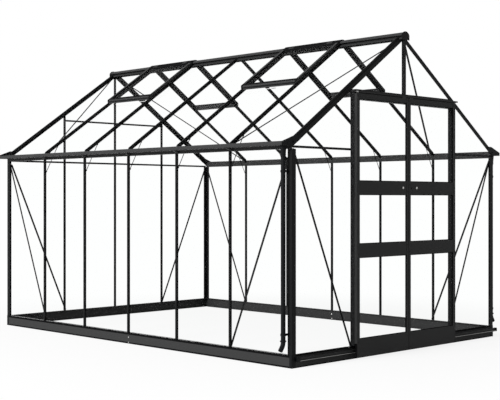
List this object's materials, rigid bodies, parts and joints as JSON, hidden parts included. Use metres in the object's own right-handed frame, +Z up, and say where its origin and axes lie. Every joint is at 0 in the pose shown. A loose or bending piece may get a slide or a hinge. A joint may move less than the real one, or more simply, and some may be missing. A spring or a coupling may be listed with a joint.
{
  "type": "glass greenhouse",
  "caption": "Walk-in gabled glass greenhouse: slim metal frame on a low base, clear panes, sliding double doors, closed roof vents, gutters and corner downpipes.",
  "frame": {"origin": "on the ground, under the middle of the outline, where the bottom plane of the base frame meets the centre of the bounding box", "axes": "+X is to the right across the gable as seen from the door side, +Y runs along the ridge away from the doors, +Z is up"},
  "size_m": [2.744, 3.8492, 2.5247],
  "materials": {
    "anthracite_frame": "satin powder coat",
    "vent_frame": "satin powder coat",
    "door_frame": "satin powder coat",
    "clear_glass": "clear polished glass",
    "pipe_plastic": "smooth black plastic",
    "roller_nylon": "smooth black nylon"
  },
  "bodies": {
    "house": {"side_plinths": "anthracite_frame", "end_plinths": "anthracite_frame", "door_track": "anthracite_frame", "corner_posts": "anthracite_frame", "left_wall_bars": "anthracite_frame", "right_wall_bars": "anthracite_frame", "back_gable_bars": "anthracite_frame", "left_gutter_beam": "anthracite_frame", "right_gutter_beam": "anthracite_frame", "gutter_caps": "anthracite_frame", "front_gable_rafters": "anthracite_frame", "back_gable_rafters": "anthracite_frame", "left_roof_bars": "anthracite_frame", "right_roof_bars": "anthracite_frame", "ridge_beam": "anthracite_frame", "ridge_caps": "anthracite_frame", "door_posts": "anthracite_frame", "door_header": "anthracite_frame", "front_king_bar": "anthracite_frame", "gable_ties": "anthracite_frame", "side_wall_braces": "anthracite_frame", "gable_braces": "anthracite_frame", "roof_braces": "anthracite_frame", "knee_braces": "anthracite_frame", "left_wall_glass": "clear_glass", "right_wall_glass": "clear_glass", "back_gable_glass": "clear_glass", "front_gable_glass": "clear_glass", "left_roof_glass": "clear_glass", "right_roof_glass": "clear_glass", "left_roof_vents": "vent_frame", "right_roof_vents": "vent_frame", "vent_glass": "clear_glass", "downpipes": "pipe_plastic", "pipe_clips": "pipe_plastic"},
    "left_door": {"left_door_stiles": "door_frame", "left_door_rails": "door_frame", "left_door_glass": "clear_glass", "left_door_rollers": "roller_nylon"},
    "right_door": {"right_door_stiles": "door_frame", "right_door_rails": "door_frame", "right_door_glass": "clear_glass", "right_door_rollers": "roller_nylon"}
  },
  "joints": [
    {"name": "left_door_slide", "type": "slide", "parent": "house", "child": "left_door", "axis": [-1, 0, 0], "range_m": [0, 0.56]},
    {"name": "right_door_slide", "type": "slide", "parent": "house", "child": "right_door", "axis": [1, 0, 0], "range_m": [0, 0.56]}
  ]
}
